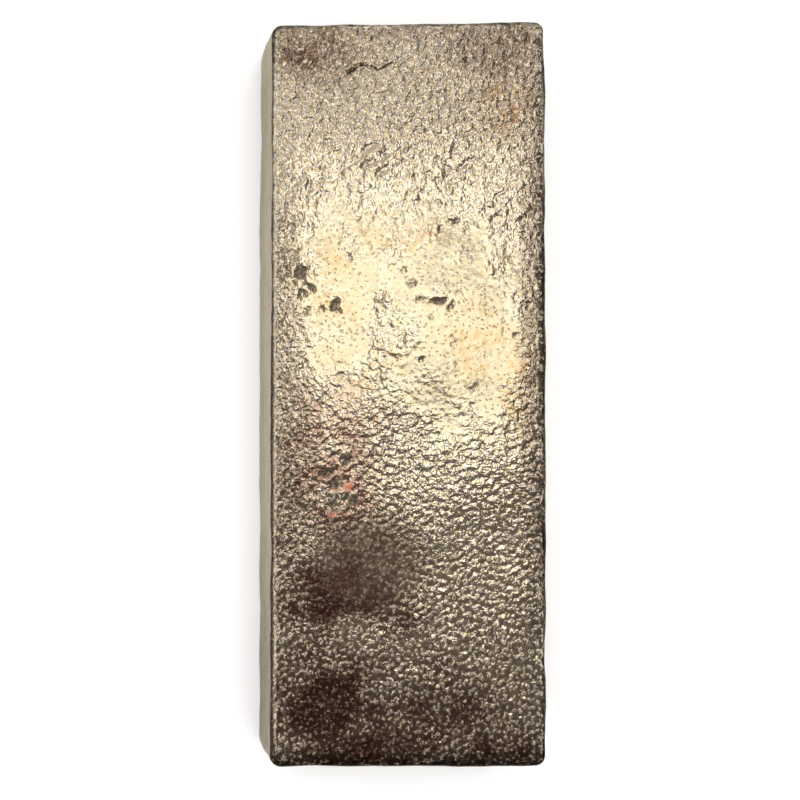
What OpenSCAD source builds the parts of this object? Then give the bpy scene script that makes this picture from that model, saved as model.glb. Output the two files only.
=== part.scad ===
// Cast metal ingot, a bar poured in an open mould and turned out.
// It lies on its pour face, with the face cast against the mould's floor on top.
// Origin: centre of the pour face. +Y runs along the bar, +Z is up.

/* [Bar] */
// Overall length, measured where the bar is longest, just above the pour face
bar_l = 156; // [80:1:400]
// Overall width, measured at the same height
bar_w = 60; // [40:1:160]
// Height from the pour face to the mould face
bar_h = 33; // [15:1:60]

/* [Mould] */
// Lean of all four walls from upright, in degrees, which lets the bar drop out
draft = 3; // [0:0.5:8]
// Plan radius of the upright corners, measured level with the outermost line of the mould face's edge
face_corner_r = 2.2; // [1:0.1:8]

/* [Edges] */
// Radius of the edge round the mould face
mould_edge_r = 1.5; // [0.5:0.1:4]
// Radius that the metal's skin took round the pour face as it set
pour_edge_r = 2.5; // [0.5:0.1:5]

/* [Hidden] */
$fn = 96;

// Every size is kept to a thousandth of a millimetre, so that the runs and corners meet exactly.
function thousandth(v) = round(v * 1000) / 1000;
half_l = thousandth(bar_l / 2);
half_w = thousandth(bar_w / 2);
top_z = thousandth(bar_h);

// The most of a corner's plan radius that an edge turning it can take
edge_share = 0.9;
// How far the edges' arcs stand proud of the walls' flats, so that each arc crosses its wall at a clear line
proud = 0.002;

face_r = thousandth(min(mould_edge_r, edge_share * face_corner_r));
// How far outside the mould face's edge the line of the wall lands, carried straight down to the floor
floor_spread = (top_z - face_r * (1 - sin(draft))) * tan(draft) - face_r * (1 - cos(draft));
// How much of that each millimetre of the pour edge's radius takes back
taken_back = tan(draft) + 1 / cos(draft) - 1;
pour_r_limit = edge_share * (face_corner_r + floor_spread) / (1 + edge_share * taken_back);
pour_r = thousandth(min(pour_edge_r, pour_r_limit));
// How much further out the bar reaches above the pour face than at the mould face's edge
spread = thousandth(floor_spread - pour_r * taken_back);
// Plan radius of the upright corners at the bar's widest height
corner_r = thousandth(face_corner_r + spread);

// Where the wall's flat starts and ends: distance in from the bar's furthest reach, then height
wall_foot = [
    thousandth(pour_r * (1 - cos(draft)) + proud),
    thousandth(pour_r * (1 + sin(draft))),
];
wall_head = [
    thousandth(spread + face_r * (1 - cos(draft)) + proud),
    thousandth(top_z - face_r * (1 - sin(draft))),
];

// The outer half of a circle
module half_disc(centre, r) {
    translate(centre) intersection() {
        circle(r);
        translate([0, -2 * r]) square([2 * r, 4 * r]);
    }
}

// Half of the bar's upright section, from its middle out to the wall, with reach the most it extends
module half_section(reach) {
    polygon([
        [0, 0],
        [reach - pour_r, 0],
        [reach - wall_foot.x, wall_foot.y],
        [reach - wall_head.x, wall_head.y],
        [reach - spread - face_r, top_z],
        [0, top_z],
    ]);
    half_disc([reach - pour_r, pour_r], pour_r);
    half_disc([reach - spread - face_r, top_z - face_r], face_r);
}

// A run of the whole section with this half width, lying along Y
module run(reach, length) {
    translate([0, length / 2, 0]) rotate([90, 0, 0]) linear_extrude(length) {
        half_section(reach);
        mirror([1, 0]) half_section(reach);
    }
}

// A quarter turn of the section's outer part, which makes one upright corner
module corner() {
    rotate_extrude(angle = 90) half_section(corner_r);
}

module ingot() {
    across = half_w - corner_r;
    along = half_l - corner_r;
    color([0.74, 0.7, 0.62]) union() {
        run(half_w, 2 * along);
        rotate([0, 0, 90]) run(half_l, 2 * across);
        for (side = [0, 1], end = [0, 1])
            mirror([side, 0, 0]) mirror([0, end, 0]) translate([across, along, 0]) corner();
    }
}

ingot();
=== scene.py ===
import bpy
import numpy as np
from math import cos, pi, radians, sin, tan
from mathutils import Matrix, Vector


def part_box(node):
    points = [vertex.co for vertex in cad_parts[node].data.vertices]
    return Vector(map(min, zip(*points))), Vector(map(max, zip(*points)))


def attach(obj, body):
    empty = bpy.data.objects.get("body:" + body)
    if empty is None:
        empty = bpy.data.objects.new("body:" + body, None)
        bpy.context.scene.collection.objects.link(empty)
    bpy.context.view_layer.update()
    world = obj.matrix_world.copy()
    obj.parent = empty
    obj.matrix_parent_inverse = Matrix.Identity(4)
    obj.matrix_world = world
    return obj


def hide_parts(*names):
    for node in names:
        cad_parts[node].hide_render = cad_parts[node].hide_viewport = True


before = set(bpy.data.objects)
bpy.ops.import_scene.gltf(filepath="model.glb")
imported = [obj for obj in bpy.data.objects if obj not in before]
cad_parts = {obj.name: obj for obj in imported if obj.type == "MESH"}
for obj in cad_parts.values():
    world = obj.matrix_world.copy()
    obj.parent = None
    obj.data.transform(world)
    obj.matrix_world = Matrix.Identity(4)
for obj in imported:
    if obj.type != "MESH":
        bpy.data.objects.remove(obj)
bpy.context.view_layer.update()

# ---------------------------------------------------------------------------
# The studio. The bar lies on a pale matt table, in a room that is dim but for
# its pale walls low down, as a bright metal mirrors whatever it has round it.
# Soft lamps hang close above its far half, and one high up lights the table.
# ---------------------------------------------------------------------------
MM = 0.001
table_gap = 0.0002
table_size = 12.0
lamp_above = 150
camera_above = 0.4
bar_low, bar_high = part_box("ingot")
face_height = bar_high.z


def new_material(name):
    made = bpy.data.materials.new(name)
    made.use_nodes = True
    made.node_tree.nodes.clear()
    return made


class Socket:
    """A node's output, on which sums can be written."""

    def __init__(self, tree, output):
        self.tree, self.output = tree, output

    def node(self, kind, settings=None, output=0, **inputs):
        """A new node; each input is i and its number, or its name with _ for a space."""
        made = self.tree.nodes.new(kind)
        for key, value in (settings or {}).items():
            setattr(made, key, value)
        for key, value in inputs.items():
            entry = made.inputs[int(key[1:]) if key[1:].isdigit() else key.replace("_", " ")]
            if isinstance(value, Socket):
                self.tree.links.new(value.output, entry)
            else:
                entry.default_value = value
        return Socket(self.tree, made.outputs[output] if made.outputs else None)

    def maths(self, operation, *values):
        inputs = {f"i{n}": value for n, value in enumerate(values)}
        return self.node("ShaderNodeMath", {"operation": operation}, **inputs)

    def __add__(self, other): return self.maths("ADD", self, other)
    def __radd__(self, other): return self.maths("ADD", other, self)
    def __sub__(self, other): return self.maths("SUBTRACT", self, other)
    def __rsub__(self, other): return self.maths("SUBTRACT", other, self)
    def __mul__(self, other): return self.maths("MULTIPLY", self, other)
    def __rmul__(self, other): return self.maths("MULTIPLY", other, self)

    def ease(self, start, end, low=0.0, high=1.0):
        """low up to start and high from end on, with a smooth way between."""
        way = {"interpolation_type": "SMOOTHSTEP"}
        return self.node("ShaderNodeMapRange", way, i0=self, i1=start, i2=end, i3=low, i4=high)

    def blend(self, here, there):
        """Colour here where this is 0 and there where it is 1."""
        return self.node("ShaderNodeMix", {"data_type": "RGBA"}, 2, i0=self, i6=here, i7=there)


table_paint = new_material("pale_table")
start = Socket(table_paint.node_tree, None)
table_skin = start.node("ShaderNodeBsdfDiffuse", Color=(0.9, 0.9, 0.9, 1), Roughness=1.0)
start.node("ShaderNodeOutputMaterial", i0=table_skin)
bpy.ops.mesh.primitive_plane_add(size=table_size, location=(0, 0, bar_low.z - table_gap))
table = bpy.context.object
table.name = "table"
table.data.materials.append(table_paint)

room = bpy.data.worlds.new("dim_room")
bpy.context.scene.world = room
room.use_nodes = True
room.node_tree.nodes.clear()
start = Socket(room.node_tree, None)
towards = start.node("ShaderNodeTexCoord", output="Generated")


def glow(direction, inner, outer, strength):
    """A round patch of light, even within inner degrees of a direction and gone at outer degrees."""
    middle = Vector(direction).normalized()
    near = start.node("ShaderNodeVectorMath", {"operation": "DOT_PRODUCT"}, "Value", i0=towards, i1=middle)
    return near.ease(cos(radians(outer)), cos(radians(inner)), 0, strength)


room_light = 0.045 + glow((0, 0.1, 1), 10, 60, 0.095) + glow((0.15, 0.9, 1), 5, 35, 0.55)
# The studio's pale walls, which show only in faces seen from low down
level = start.node("ShaderNodeSeparateXYZ", output="Z", Vector=towards)
walls_light = level.ease(0.14, 0.50, 0.60, 0) + level.ease(0.55, 0.85, 0.05, 0)
room_colour = walls_light.ease(0.0, 0.3).blend((1.0, 0.81, 0.75, 1), (1.0, 0.98, 0.95, 1))
room_air = start.node("ShaderNodeBackground", Color=room_colour, Strength=room_light + walls_light)
start.node("ShaderNodeOutputWorld", i0=room_air)


def lamp(name, place, size, radiance, turn=0.0, colour=(1, 1, 1), metal=True):
    """A soft flat lamp that faces down, at a place in mm, and lights the metal or else the table."""
    made = bpy.data.objects.new(name, bpy.data.lights.new(name, "AREA"))
    made.data.shape = "RECTANGLE"
    made.data.size, made.data.size_y = size[0] * MM, size[1] * MM
    made.data.energy = radiance * pi * made.data.size * made.data.size_y
    made.data.color = colour
    made.location = Vector(place) * MM
    made.rotation_euler = (0, 0, radians(turn))
    made.visible_camera = False
    made.visible_diffuse = not metal
    made.visible_glossy = metal
    bpy.context.scene.collection.objects.link(made)


lamp_height = bar_high.z / MM + lamp_above
lamp("key_lamp", (14, 24, lamp_height), (108, 64), 1.4, -14, (1.0, 0.98, 0.92))
lamp("far_lamp", (14, 96, lamp_height + 5), (84, 52), 1.15, 0, (1.0, 0.96, 0.88))
lamp("side_lamp", (-140, 0, lamp_height - 50), (120, 300), 0.9, 0, (1.0, 0.97, 0.9))
lamp("table_lamp", (0, 0, 1300), (1600, 1600), 4.2, 0, (1, 1, 1), metal=False)

camera = bpy.data.objects.new("camera", bpy.data.cameras.new("camera"))
camera.data.lens = 87.9
camera.data.sensor_width = 36
camera.data.shift_x = 0.02
camera.data.clip_start = 0.01
camera.location = (-0.039, -0.009, face_height + camera_above)
aim = Vector((-0.0052, -0.0013, face_height))
back = (camera.location - aim).normalized()
across = Vector((0, 1, 0)).cross(back).normalized()
camera.rotation_euler = Matrix((across, back.cross(across), back)).transposed().to_euler()
bpy.context.scene.collection.objects.link(camera)
bpy.context.scene.camera = camera
bpy.context.scene.view_settings.view_transform = "Standard"

# ---------------------------------------------------------------------------
# The bar. Silver poured in an open iron mould and turned out, so its top was
# cast against the mould's floor and has a pebbled skin with ripples, pits and
# a cold crack, and its walls were cast against the mould's sides.
# ---------------------------------------------------------------------------
draft = radians(3)
face_corner_r = 2.2
face_edge_r = 1.5
pour_edge_r = 2.5
half_w, half_l, bar_h = bar_high.x / MM, bar_high.y / MM, bar_high.z / MM
wall_line = (bar_h - face_edge_r * (1 - sin(draft))) * tan(draft) - face_edge_r * (1 - cos(draft))
spread = wall_line - pour_edge_r * (tan(draft) + 1 / cos(draft) - 1)
corner_r = face_corner_r + spread

cells_x, cells_y = 152, 412
edge_rows, wall_rows, rim_rows = 7, 29, 5
rng = np.random.default_rng(11)
spread_of_waves = (0.75, 1.3)


def profile():
    """Rows from the mould face down to the pour face: distance in from the widest outline, height, lean."""
    rows = []
    for angle in np.linspace(pi / 2, draft, edge_rows + 1):
        inset = spread + face_edge_r * (1 - cos(angle))
        rows.append((inset, bar_h - face_edge_r * (1 - sin(angle)), angle))
    top, foot = rows[-1], (pour_edge_r * (1 - cos(draft)), pour_edge_r * (1 + sin(draft)), draft)
    for share in np.linspace(0, 1, wall_rows + 1)[1:]:
        rows.append(tuple(a + (b - a) * share for a, b in zip(top, foot)))
    for angle in np.linspace(draft, -pi / 2, rim_rows + 1)[1:]:
        rows.append((pour_edge_r * (1 - cos(angle)), pour_edge_r * (1 + sin(angle)), angle))
    return rows


def outline(inset, per_x, per_y):
    """A ring round the bar, anticlockwise from the corner at low X and Y: points and outward directions."""
    r = corner_r - inset
    points, outward = [], []
    end_side = (half_w - inset, half_l - inset, per_x)
    long_side = (half_l - inset, half_w - inset, per_y)
    for turn, (half, reach, count) in enumerate([end_side, long_side] * 2):
        straight = half - r
        s = np.linspace(-1, 1, count, endpoint=False) * (straight + r * pi / 4)
        bend = np.clip(np.abs(s) - straight, 0, None) / r
        along = np.sign(s) * (np.minimum(np.abs(s), straight) + r * np.sin(bend))
        out = reach - r * (1 - np.cos(bend))
        c, d = [(1, 0), (0, 1), (-1, 0), (0, -1)][turn]
        points.append(np.stack([along * c + out * d, along * d - out * c], 1))
        n_along, n_out = np.sign(s) * np.sin(bend), np.cos(bend)
        outward.append(np.stack([n_along * c + n_out * d, n_along * d - n_out * c], 1))
    return np.concatenate(points), np.concatenate(outward)


def patch(ring, per_x, per_y):
    """A grid of points that fills a ring, row by row from low Y."""
    closed = np.concatenate([ring, ring[:1]])
    low = closed[: per_x + 1]
    right = closed[per_x : per_x + per_y + 1]
    high = closed[per_x + per_y : 2 * per_x + per_y + 1][::-1]
    left = closed[2 * per_x + per_y :][::-1]
    u = np.linspace(0, 1, per_x + 1)[None, :, None]
    v = np.linspace(0, 1, per_y + 1)[:, None, None]
    corners = (1 - u) * (1 - v) * low[0] + u * (1 - v) * low[-1] + (1 - u) * v * high[0] + u * v * high[-1]
    return (1 - v) * low + v * high + (1 - u) * left[:, None] + u * right[:, None] - corners


def ring_ids(first, per_x, per_y):
    """The numbers of a grid's border points, in the ring's order."""
    ids = first + np.arange((per_x + 1) * (per_y + 1)).reshape(per_y + 1, per_x + 1)
    return np.concatenate([ids[0, :-1], ids[:-1, -1], ids[-1, :0:-1], ids[:0:-1, 0]])


points, normals, faces, face_uvs = [], [], [], []
count = 0
rows = profile()
steps = [np.hypot(b[0] - a[0], b[1] - a[1]) for a, b in zip(rows, rows[1:])]
row_length = np.concatenate([[0], np.cumsum(steps)])

# The top's grid
flat, _ = outline(rows[0][0], cells_x, cells_y)
grid = patch(flat, cells_x, cells_y).reshape(-1, 2)
points.append(np.column_stack([grid, np.full(len(grid), rows[0][1])]))
normals.append(np.tile([0.0, 0.0, 1.0], (len(grid), 1)))
ring = ring_ids(0, cells_x, cells_y)
count += len(grid)
ids = np.arange(count).reshape(cells_y + 1, cells_x + 1)
quads = np.stack([ids[:-1, :-1], ids[:-1, 1:], ids[1:, 1:], ids[1:, :-1]], -1).reshape(-1, 4)
faces += quads.tolist()

# The map for the surface's colours is laid out in six fields, with a gap between them
gap = 3.0
map_size = 2 * (half_w + half_w + row_length[-1]) + 5 * gap
top_origin = np.array([gap + half_w, gap + half_l])
base_origin = top_origin + [2 * half_w + gap, 0]
wall_x = base_origin[0] + half_w + gap
face_uvs += (grid[quads] + top_origin).reshape(-1, 2).tolist()


def wall_uv(side, share, row):
    """Where a point of a wall goes on the map, from its side, its share of the way along and its row."""
    down = row_length[row]
    if side % 2:
        x = wall_x + (side // 2) * (row_length[-1] + gap) + down
        return (x, gap + share * 2 * half_l)
    return (gap + (side // 2) * (2 * half_w + gap) + share * 2 * half_w, 2 * gap + 2 * half_l + down)


per_x, per_y = cells_x, cells_y
for row in range(1, len(rows)):
    inset, z, lean = rows[row]
    halve = row in (edge_rows + 1, len(rows) - 1)
    if halve:
        per_x, per_y = per_x // 2, per_y // 2
    where, out = outline(inset, per_x, per_y)
    points.append(np.column_stack([where, np.full(len(where), z)]))
    normals.append(np.column_stack([out * cos(lean), np.full(len(out), sin(lean))]))
    below = count + np.arange(len(where))
    count += len(where)
    starts = np.cumsum([0, per_x, per_y, per_x])
    for side, (start_at, n) in enumerate(zip(starts, [per_x, per_y] * 2)):
        for i in range(n):
            a, b = below[start_at + i], below[(start_at + i + 1) % len(below)]
            s0, s1 = i / n, (i + 1) / n
            if halve:
                j = 2 * (start_at + i)
                above = [ring[(j + 2) % len(ring)], ring[j + 1], ring[j]]
                shares = [s1, (s0 + s1) / 2, s0]
            else:
                j = start_at + i
                above = [ring[(j + 1) % len(ring)], ring[j]]
                shares = [s1, s0]
            faces.append([int(corner) for corner in (a, b, *above)])
            face_uvs += [wall_uv(side, s0, row), wall_uv(side, s1, row)]
            face_uvs += [wall_uv(side, share, row - 1) for share in shares]
    ring = below

# The base's grid, whose border is the last ring
flat, _ = outline(rows[-1][0], per_x, per_y)
grid = patch(flat, per_x, per_y)
border = np.zeros((per_y + 1, per_x + 1), int)
inner = count + np.arange((per_x - 1) * (per_y - 1)).reshape(per_y - 1, per_x - 1)
border[1:-1, 1:-1] = inner
border[0, :-1], border[:-1, -1] = ring[:per_x], ring[per_x : per_x + per_y]
border[-1, :0:-1], border[:0:-1, 0] = ring[per_x + per_y : 2 * per_x + per_y], ring[2 * per_x + per_y :]
inside = grid[1:-1, 1:-1].reshape(-1, 2)
points.append(np.column_stack([inside, np.zeros(len(inside))]))
normals.append(np.tile([0.0, 0.0, -1.0], (len(inside), 1)))
count += len(inside)
quads = np.stack([border[:-1, :-1], border[1:, :-1], border[1:, 1:], border[:-1, 1:]], -1).reshape(-1, 4)
faces += quads.tolist()
points, normals = np.concatenate(points), np.concatenate(normals)
face_uvs += (points[quads][..., :2] * [-1, 1] + base_origin).reshape(-1, 2).tolist()


def smooth(value, start, end):
    t = np.clip((value - start) / (end - start), 0, 1)
    return t * t * (3 - 2 * t)


def swell(where, wavelength, waves=60):
    """A random rolling surface of one size of wave, about 1 high, from waves that run every way."""
    dims = where.shape[1]
    way = rng.normal(size=(waves, dims))
    length = np.linalg.norm(way, axis=1, keepdims=True)
    way *= 2 * pi / wavelength * rng.uniform(*spread_of_waves, (waves, 1)) / length
    return np.cos(where @ way.T + rng.uniform(0, 2 * pi, waves)).sum(1) * (2 / waves) ** 0.5


def ripples(where, centre, scatter, wavelength, waves=60):
    """The same, from waves that run out from near a centre, so that their crests circle it."""
    total = np.zeros(len(where))
    for source in rng.normal(centre, scatter, (waves, 2)):
        reach = np.linalg.norm(where - source, axis=1)
        total += np.cos(reach * 2 * pi / (wavelength * rng.uniform(*spread_of_waves)) + rng.uniform(0, 2 * pi))
    return total * (2 / waves) ** 0.5


def spot(where, x, y, rx, ry, turn=0.0, edge=0.5):
    """1 in an oval that fades to 0 at its outline; turn is in degrees."""
    c, s = cos(radians(turn)), sin(radians(turn))
    dx, dy = where[:, 0] - x, where[:, 1] - y
    far = np.hypot((dx * c + dy * s) / rx, (dy * c - dx * s) / ry)
    return 1 - smooth(far, 1 - edge, 1 + edge)


def spots(where, edge, ovals):
    """The strongest of many ovals: each is x, y, rx, ry, turn and, where it isn't full, a strength."""
    total = np.zeros(len(where))
    for x, y, rx, ry, turn, *strength in ovals:
        total = np.maximum(total, (strength or [1])[0] * spot(where, x, y, rx, ry, turn, edge))
    return total


def strand(where, path, width):
    """1 on a bent line that fades to 0 at width from it."""
    near = np.full(len(where), 1e9)
    for a, b in zip(np.array(path[:-1], float), np.array(path[1:], float)):
        share = np.clip(((where - a) @ (b - a)) / ((b - a) @ (b - a)), 0, 1)
        near = np.minimum(near, np.linalg.norm(where - a - share[:, None] * (b - a), axis=1))
    return 1 - smooth(near, 0, width)


x, y = points[:, 0], points[:, 1]
plan = points[:, :2]
on_top = smooth(normals[:, 2], 0.15, 0.9)
on_base = smooth(-normals[:, 2], 0.15, 0.9)
on_wall = 1 - on_top - on_base
# Small features have ragged outlines
ragged = plan + 0.28 * np.stack([swell(plan, 2.6), swell(plan, 2.6)], 1)
ragged = ragged + 0.13 * np.stack([swell(plan, 1.2), swell(plan, 1.2)], 1)

# A cold crack, whose smooth lip stands up behind it
crack_path = [
    (-12.7, 65.9), (-11.8, 66.7), (-9.9, 67.9), (-8.5, 67.7), (-7.2, 67.4),
    (-6.4, 66.6), (-5.3, 67.2), (-4.3, 67.9), (-2.8, 68.3),
]
crack = strand(plan + 0.3 * (ragged - plan), crack_path, 0.55)
crack = np.maximum(crack, spot(plan, -9.8, 67.8, 0.55, 0.45, 0, 0.5))
lip = strand(ragged, [(px - 0.2, py + 0.85) for px, py in crack_path[:-3]], 1.1)

# How lively the skin is: flat and finely pitted on both sides of the middle, save inside
# a bubble's ring, and coarser elsewhere
ring_x, ring_y = -2.9, 13.4
calm = np.maximum(spot(plan, 9, 14, 16, 21, 15, 0.5), 0.8 * spot(plan, -12, 20, 12, 20, 0, 0.6))
calm = np.clip(1.15 * calm + 0.2 * swell(plan, 9) * smooth(calm, 0, 0.3), 0, 1)
calm *= 1 - 0.45 * spot(plan, ring_x, ring_y, 5.0, 5.4, 0, 0.3)
calm = np.maximum(calm, 0.85 * lip)
smudge = spot(plan, -9, -36, 10.5, 9, 0, 0.5)
poured_at = (23.0, 22.0)
coarse_flow = ripples(plan, poured_at, 24, 3.2)
flow = ripples(plan, poured_at, 30, 2.0)
grain = swell(plan, 1.6)
liveliness = 1 + 0.3 * swell(plan, 12) + 0.6 * smooth(-y, 12, 45)
upper = smooth(y, 18, 32) * (1 - smooth(y, 50, 64))
fine = 1 - 0.1 * upper + 0.5 * smooth(y, 44, 60)
lift = swell(plan, 28) * 0.09 + swell(plan, 9) * 0.02
dull = spot(plan, -17, -50, 15, 25, 0, 0.6)
low = smooth(-y, 5, 40)
skin = (0.020 + 0.030 * upper - 0.014 * low) * coarse_flow + (0.028 - 0.014 * low) * flow
skin = skin + (0.024 * fine + 0.022 * low) * grain
skin *= (1 - 0.86 * np.maximum(calm, 0.8 * smudge)) * (1 - 0.55 * dull) * liveliness

# The shoulders, where the face falls away to the edges, most of all at the near end
shoulder = 3.0
to_left, to_right = x + half_w - shoulder, half_w - shoulder - x
to_ends, to_near_end = half_l - shoulder - np.abs(y), y + half_l - shoulder
lift -= (
    0.30 * (1 - smooth(to_left, -1, 5.5)) ** 2
    + 0.18 * (1 - smooth(to_right, -1, 3.5)) ** 2
    + 0.12 * (1 - smooth(to_ends, -1, 3)) ** 2
    + 0.14 * (1 - smooth(to_near_end, -1, 3)) ** 2
)

# Pits, a ring left by a bubble, a scratch and two cold lines
pits = spots(ragged, 0.35, [
    (-22.5, 24.7, 0.9, 1.3, -15, 0.33), (-20.3, 21.7, 1.0, 0.6, -25, 0.33), (-22.2, 20.5, 0.5, 1.3, -15, 0.33),
    (-23.6, 22.8, 0.5, 0.5, 0, 0.2), (-21.7, 22.6, 0.5, 0.4, 0, 0.25), (-24.3, 29.0, 0.7, 0.6, 0, 0.16),
    (-15.3, 17.9, 0.9, 1.4, 0, 0.3), (-21.0, 16.9, 0.7, 0.6, 0, 0.2), (-18.2, 17.2, 0.5, 0.8, 0, 0.15),
    (5.9, 19.0, 1.8, 0.7, 8, 0.3), (2.6, 19.6, 1.2, 0.5, -10, 0.2), (9.0, 18.2, 0.5, 0.5, 0, 0.2),
    (4.8, 15.6, 0.5, 0.7, 0, 0.15), (9.3, 35.1, 1.1, 0.8, 0, 0.25), (12.0, 34.5, 0.8, 0.5, 0, 0.15),
    (6.4, 33.6, 0.7, 0.6, 0, 0.15), (23.3, 35.5, 0.5, 0.4, 0, 0.25), (13.4, 1.0, 0.7, 0.5, 0, 0.12),
    (2.5, 6.9, 0.6, 0.8, 0, 0.2), (-24.1, 73.6, 0.3, 1.1, -40, 0.2), (20.0, -65.4, 0.8, 0.5, 0, 0.2),
    (22.3, 12.0, 0.7, 0.6, 0, 0.2), (24.8, 17.7, 0.4, 0.4, 0, 0.2), (-1.4, 25.4, 0.6, 0.5, 0, 0.15),
    (0.3, 22.8, 0.5, 0.5, 0, 0.15), (-2.2, 28.8, 0.5, 0.5, 0, 0.12),
])
ring_far = np.hypot((ragged[:, 0] - ring_x) / 5.8, (ragged[:, 1] - ring_y) / 6.3)
crater = (1 - smooth(np.abs(ring_far - 1), 0, 0.1)) * smooth(-y, -13, -8.5)
scratch = strand(plan, [(7.6, 18.6), (8.6, 13.5), (9.4, 8.5), (9.9, 3.1)], 0.3)
long_line = [
    (19.8, 34.0), (20.3, 30.5), (19.9, 26.5), (20.2, 22.0),
    (19.4, 18.4), (19.9, 15.5), (19.5, 12.2), (20.0, 11.0),
]
short_line = [(6.6, 1.6), (7.4, -1.0), (7.0, -3.5), (8.0, -6.2)]
cold_line = np.maximum(strand(plan, long_line, 0.4), 0.8 * strand(plan, short_line, 0.4))

# The crusty lumps round the copper stain
crust = spot(ragged, -14.8, -20.0, 4.8, 5.6, 0, 0.5)
hollows = spots(ragged, 0.5, [
    (-16.5, -16.2, 1.5, 0.6, 10), (-15.5, -18.8, 1.0, 0.7, -40), (-13.1, -21.0, 1.1, 0.7, 0),
    (-11.9, -22.8, 1.2, 1.3, 0), (-15.5, -22.7, 1.0, 1.4, 0), (-19.4, -20.4, 1.1, 0.6, 0),
    (-18.3, -9.0, 0.8, 0.5, 0), (-12.6, -13.6, 1.5, 0.5, 20), (-13.8, -17.6, 0.8, 0.8, 0),
])
knobs = spots(ragged, 0.6, [
    (-13.5, -16.1, 1.8, 0.7, -52), (-17.0, -17.9, 0.8, 0.7, 0), (-17.3, -19.6, 0.8, 0.6, 0),
    (-19.7, -21.8, 1.2, 0.7, 0), (-16.6, -24.2, 1.5, 0.4, -60), (-14.3, -20.6, 0.8, 0.9, 0),
    (-13.6, -24.0, 0.8, 0.6, 0), (-11.8, -23.2, 0.45, 0.45, 0), (-13.0, -11.8, 1.0, 0.6, 20),
])
skin += crust * 0.05 * swell(plan, 1.9) + 0.24 * knobs - 0.30 * hollows * (1 - knobs)
height_of = skin + lift - pits - 0.25 * crack + 0.32 * lip * (1 - crack)
height_of = height_of - 0.09 * crater - 0.045 * scratch - 0.055 * cold_line

# Walls ripple along their length, where each level of the rising metal set, and the pour
# face set in slow waves
wall_skin = 0.06 * swell(points * [0.04, 0.04, 1], 4.5) + 0.02 * swell(points * [0.15, 0.15, 1], 2.6)
wall_skin = wall_skin + 0.06 * swell(points, 14)
base_skin = 0.03 * swell(plan * [1.0, 0.6], 7) - 0.02
wobble = 0.05 * swell(points * [1, 1, 0.5], 17) + 0.025 * swell(points, 4.5)
points = points + normals * (on_top * height_of + on_wall * wall_skin)[:, None]
leans_out = smooth(np.hypot(normals[:, 0], normals[:, 1]), 0.05, 0.6)
points[:, :2] += normals[:, :2] * (leans_out * wobble)[:, None]
from_rim = np.minimum(half_w - np.abs(x), half_l - np.abs(y))
points[:, 2] += on_base * np.abs(base_skin) * smooth(from_rim, 4, 10)
# The mould was a hair longer than its drawing, most of all on its right side, and its far
# end ran askew
far_part, near_part = smooth(y, 0, half_l), smooth(-y, 0, half_l)
points[:, 1] += x / half_w * (0.35 * y / half_l + 0.6 * far_part) + 0.25 * far_part - 0.15 * near_part

# Where the skin is tarnished brown, stained by copper or tinted yellow and peach, where painted shade darkens
# its rounded edges and its right rim, and where its walls are painted darker towards their ends
patchy = 0.22 * swell(plan, 9) + 0.10 * swell(plan, 3)
# Brown tarnish, darkest towards the near end and the left; the strip along the right rim at x 26.5 is painted
# shade, where the face turns away from the lamps
tarnish_and_shade = 0.62 * smooth(-y - 0.5 * x, 16, 76)
tarnish_and_shade = np.maximum(tarnish_and_shade, spots(plan, 0.7, [
    (-9.5, -33.5, 12, 9, -10, 0.8), (-15, -42, 13, 10, 0, 1.0), (-6, -44, 10, 6, -20, 0.8),
    (-17, -64, 14, 13, 0, 1.0), (-9, -73, 22, 8, 0, 0.95), (6, -66, 16, 12, 0, 0.80),
    (16, -74, 18, 8, 0, 0.85), (-25, -35, 5, 45, 0, 0.6), (-26, 10, 3.5, 40, 0, 0.4),
    (26.5, 10, 3, 70, 0, 0.55), (-20, 71, 10, 7, 0, 0.75), (20, 71, 11, 6, 0, 0.65),
    (0, 75, 28, 3, 0, 0.45),
]))
tarnish_and_shade *= 1 - 0.6 * spot(ragged, -10.7, -48.5, 5, 3.5, -15, 0.5)
tarnish_and_shade = np.clip(tarnish_and_shade * (1 + 0.4 * patchy), 0, 1)
# The walls are painted darker towards their ends, most at the near end and on the long walls
wall_darkening = (0.95 * smooth(-y, 15, 70) + 0.4 * smooth(y, 25, 75)) * (0.25 + 0.75 * np.abs(normals[:, 0]))
# Painted shade on the rounded edge between the face and the walls: a dark band that reaches further onto the
# face at the right side and at the ends, most at the near end
reach = 0.05 + 0.12 * np.maximum(smooth(x, -25, 25), smooth(np.abs(y), 60, 76))
reach = reach + 0.2 * smooth(-y, 71, 76)
painted_edge_shade = smooth(-normals[:, 2] + reach, -0.8, -0.55)
painted_edge_shade = painted_edge_shade * smooth(normals[:, 2], sin(draft), sin(draft) + 0.05)
copper = spots(ragged, 0.6, [
    (-15, -5, 9, 7, 0, 0.6), (-16, -14, 9, 8.5, 0, 0.85), (-14, -21, 8.5, 7, 0, 0.8),
    (20, 59, 4, 5, 0, 0.12),
])
copper = np.clip(copper * (0.9 + 1.6 * patchy), 0, 1)
fleck = 0.9 * spots(ragged, 0.35, [
    (-12.4, -18.7, 1.7, 0.55, 56, 1.0), (-15.6, -24.9, 0.7, 0.4, 0, 0.9), (-12.2, -24.6, 0.6, 0.35, 0, 0.8),
    (-15.3, -28.7, 0.3, 0.3, 0, 0.8), (-15.4, -19.9, 1.2, 0.6, 20, 0.5), (-21.1, -18.8, 0.8, 0.6, 0, 0.45),
    (-11.1, -12.4, 1.0, 0.6, 0, 0.4), (-17.2, -13.0, 1.6, 0.4, -20, 0.35),
])
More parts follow.
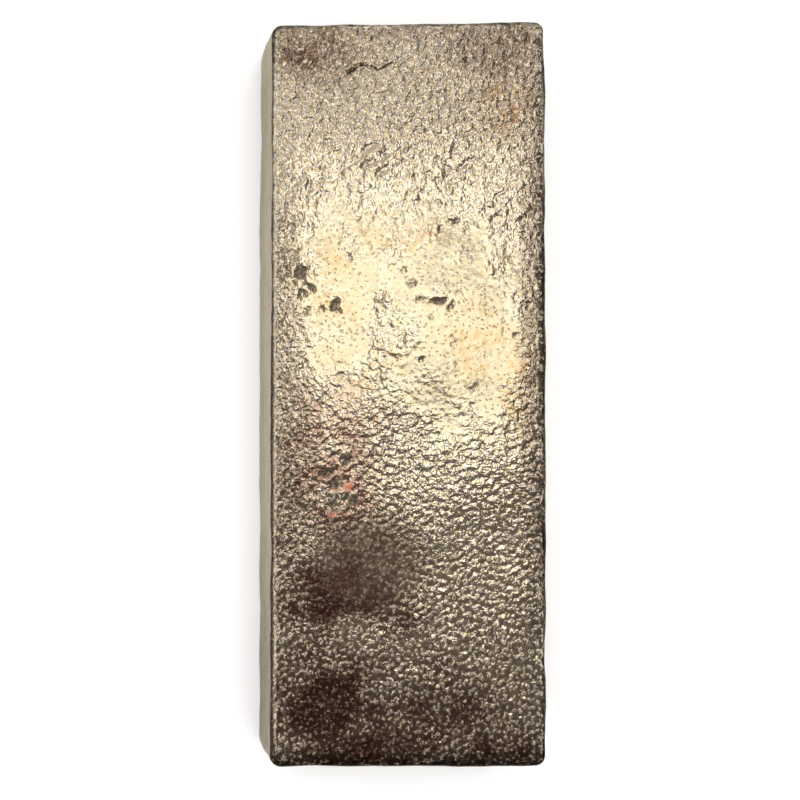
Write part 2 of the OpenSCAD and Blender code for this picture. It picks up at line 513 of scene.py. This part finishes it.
peach = spots(ragged, 0.6, [
    (14, 11, 6, 7, 0, 0.9), (19.5, 58.5, 4.5, 5.5, 0, 0.8), (22, 2, 3, 10, 0, 0.8),
    (-15, 22, 5, 10, 0, 0.6), (-3, 33, 9, 4, 0, 0.4), (-10, 6, 8, 4, 0, 0.4),
])
peach = np.clip(peach * (1 + 2 * patchy), 0, 1)

bar_mesh = bpy.data.meshes.new("cast_bar")
bar_mesh.from_pydata((points * MM).tolist(), [], faces)
bar_mesh.polygons.foreach_set("use_smooth", [True] * len(faces))
uv = bar_mesh.uv_layers.new(name="OFBake")
uv.data.foreach_set("uv", (np.array(face_uvs) / map_size).ravel())
# The pits, the bubble's ring, the scratch, the cold lines and the crust's hollows are painted darker
dark_mark_depth = pits * 2.7 + 0.5 * crater + 0.5 * scratch + 0.5 * cold_line + 0.75 * hollows * (1 - knobs)
beadiness = np.maximum(tarnish_and_shade, 0.6 * low) * (1 + 0.5 * smooth(-y, 46, 66) * (1 - dull))
for name, values in {
    "dark_marks": np.clip(dark_mark_depth, 0, 1) * on_top,
    "edge": painted_edge_shade,
    "crack": crack * on_top,
    "crust": crust * on_top,
    "fine": fine * on_top,
    "beady": beadiness * on_top,
    "top": on_top,
    "calm": calm * on_top,
    "smudge": smudge * on_top,
    "tarnish_and_shade": tarnish_and_shade * on_top + wall_darkening * (1 - on_top),
    "copper": copper * on_top,
    "fleck": fleck * on_top,
    "peach": peach * on_top,
}.items():
    layer = bar_mesh.attributes.new(name, "FLOAT", "POINT")
    layer.data.foreach_set("value", values.astype(np.float32))
bar = bpy.data.objects.new("cast_bar", bar_mesh)
bpy.context.scene.collection.objects.link(bar)

silver = new_material("cast_silver")
start = Socket(silver.node_tree, None)
spot_at = start.node("ShaderNodeTexCoord", output="Object")
millimetres = start.node("ShaderNodeVectorMath", {"operation": "SCALE"}, i0=spot_at, Scale=1000.0)


def painted(name):
    """What was laid out over the mesh under this name."""
    return start.node("ShaderNodeAttribute", {"attribute_name": name}, "Fac")


dark_marks, edge, crack_here, crusty, fine_here = (painted(n) for n in ("dark_marks", "edge", "crack", "crust", "fine"))
beady, top, calm_here, smudge_here = (painted(n) for n in ("beady", "top", "calm", "smudge"))
brown, coppery, rust_red, peachy = (painted(n) for n in ("tarnish_and_shade", "copper", "fleck", "peach"))


def noise(space, scale, detail, roughness, where=millimetres, output=0):
    """Soft noise over the plan, in 2D, or through the metal, in 3D."""
    return start.node("ShaderNodeTexNoise", {"noise_dimensions": space}, output,
                      Vector=where, Scale=scale, Detail=detail, Roughness=roughness)


def dimples(where, scale, feature="F1", **more):
    """How far the nearest of many scattered points is, over the plan."""
    return start.node("ShaderNodeTexVoronoi", {"voronoi_dimensions": "2D", "feature": feature}, "Distance",
                      Vector=where, Scale=scale, **more)


def grain_noise(scale, detail):
    return noise("3D", scale, detail, 0.55)


# Rounded pebbles crowd together, beads stand out of the tarnish, and the calm skin has
# pinholes instead
sway = noise("2D", 0.8, 1.0, 0.5, output="Color")
swayed = millimetres.node("ShaderNodeVectorMath", {"operation": "ADD"}, i0=millimetres, i1=sway)
cells = dimples(swayed, 0.72, "SMOOTH_F1", Smoothness=0.5)
dots, holes = dimples(swayed, 0.8), dimples(swayed, 0.82)
lumps, speckle = noise("2D", 1.15, 2.0, 0.5), noise("2D", 2.1, 1.0, 0.5)
pebbles = 1 - cells * cells * 2
beads = (dots + speckle * 0.2 + brown.ease(0.7, 1.0) * 0.12).ease(0.16, 0.46, 1, 0)
crowded = grain_noise(0.13, 2.0).ease(0.40, 0.60)
pinholes = (holes + (speckle + lumps) * 0.5 - crowded * 0.1).ease(0.46, 0.60, 1, 0)
flatness = calm_here.maths("MAXIMUM", calm_here, smudge_here * 0.6)
lively = 1 - flatness * 0.88
relief = (pebbles * fine_here * 0.11 + lumps * 0.23) * lively * fine_here * (1 - beady * 0.65)
relief = relief + beads * beady * 0.23 + speckle * (lively + crusty) * 0.04 - pinholes * flatness * 0.035
stretch = (0.16, 0.16, 0.45)
layered = millimetres.node("ShaderNodeVectorMath", {"operation": "MULTIPLY"}, i0=millimetres, i1=stretch)
laps = noise("3D", 1.0, 3.0, 0.6, layered)
specks = grain_noise(1.1, 2.0).ease(0.68, 0.76)
wall_relief = grain_noise(0.8, 4.0) * 0.22 + laps * 0.40 - specks * 0.10
height = relief * top + wall_relief * (1 - top)
bumps = start.node("ShaderNodeBump", Strength=1.0, Distance=MM, Height=height)

# Tips of pebbles are worn bright, and hollows hold the tarnish
tips = beads.maths("MAXIMUM", beads, (lumps + pebbles * 0.2).ease(0.62, 0.85))
# Darker and rougher in those marks and where lumps and speckle run high
dark_rough_marks = (dark_marks * 0.9 + speckle * 0.5 + lumps * 0.9).ease(1.0, 1.25)
# Painted shade inside the crack, near black
crack_shade = (crack_here + speckle * 0.5).ease(0.78, 1.0)
clean, golden = (0.95, 0.89, 0.75, 1), (0.95, 0.84, 0.56, 1)
calm_pale, calm_gold = (0.74, 0.68, 0.50, 1), (0.74, 0.63, 0.40, 1)
peach_tint, copper_red = (0.76, 0.56, 0.31, 1), (0.56, 0.32, 0.24, 1)
tarnish_and_shade_brown, smudge_haze = (0.172, 0.084, 0.061, 1), (0.27, 0.20, 0.165, 1)
pinhole_grey = (0.30, 0.23, 0.19, 1)
mark_dark, mark_olive = (0.13, 0.115, 0.085, 1), (0.38, 0.35, 0.25, 1)
crack_shade_black, fleck_orange = (0.06, 0.038, 0.026, 1), (0.45, 0.12, 0.05, 1)
wall_dull, wall_pale = (0.25, 0.225, 0.16, 1), (0.30, 0.27, 0.19, 1)
wall_speck, wall_brown = (0.10, 0.085, 0.065, 1), (0.08, 0.056, 0.038, 1)
# Painted shade along the rounded edges
painted_edge_shade_black = (0.045, 0.035, 0.03, 1)
tint = grain_noise(1.1, 3.0).ease(0.40, 0.62)
tips_show = tips * brown.ease(0.65, 1.05, 0.95, 0.38) * (1 - smudge_here * 0.35)
colour = (tint * 0.8).blend(clean, golden)
colour = flatness.blend(colour, (tint * 0.8).blend(calm_pale, calm_gold))
colour = (peachy * (0.35 + tint * 0.65)).blend(colour, peach_tint)
colour = (coppery * (1 - tips * 0.6) * 0.85).blend(colour, copper_red)
# Tarnish, and painted shade along the right rim
colour = (brown * (1 - tips_show)).blend(colour, tarnish_and_shade_brown)
colour = (smudge_here * (1 - beads) * 0.32).blend(colour, smudge_haze)
colour = (pinholes * flatness * 0.4).blend(colour, pinhole_grey)
# Those marks painted dark grey-brown and olive
colour = (dark_rough_marks * 0.9).blend(colour, speckle.ease(0.35, 0.7).blend(mark_dark, mark_olive))
# The crack's painted shade
colour = (crack_shade * 0.92).blend(colour, crack_shade_black)
colour = rust_red.blend(colour, fleck_orange)
wall_tone = (grain_noise(0.25, 3.0) * 0.5 + laps * 0.5).ease(0.35, 0.65).blend(wall_dull, wall_pale)
wall_tone = (specks * 0.45).blend(wall_tone, wall_speck)
# The walls darker towards their ends
wall_tone = brown.blend(wall_tone, wall_brown)
colour = top.blend(wall_tone, colour)
# Painted shade, near black and flecked, along the rounded edges
colour = (edge * speckle.ease(0.25, 0.55, 0.65, 0.95)).blend(colour, painted_edge_shade_black)
metallic = top.ease(0.0, 1.0, 0.9, 1.0) - rust_red * 0.7
roughness = top.ease(0.0, 1.0, 0.28, 0.17) + dark_rough_marks * 0.3 + rust_red * 0.3 + smudge_here * 0.15 + tint * 0.05
skin_shader = start.node(
    "ShaderNodeBsdfPrincipled",
    Base_Color=colour,
    Metallic=metallic,
    Roughness=roughness,
    Specular_Tint=(0.86, 0.80, 0.68, 1),
    Normal=bumps,
)
start.node("ShaderNodeOutputMaterial", i0=skin_shader)
bar_mesh.materials.append(silver)
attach(bar, "root")
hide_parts("ingot")
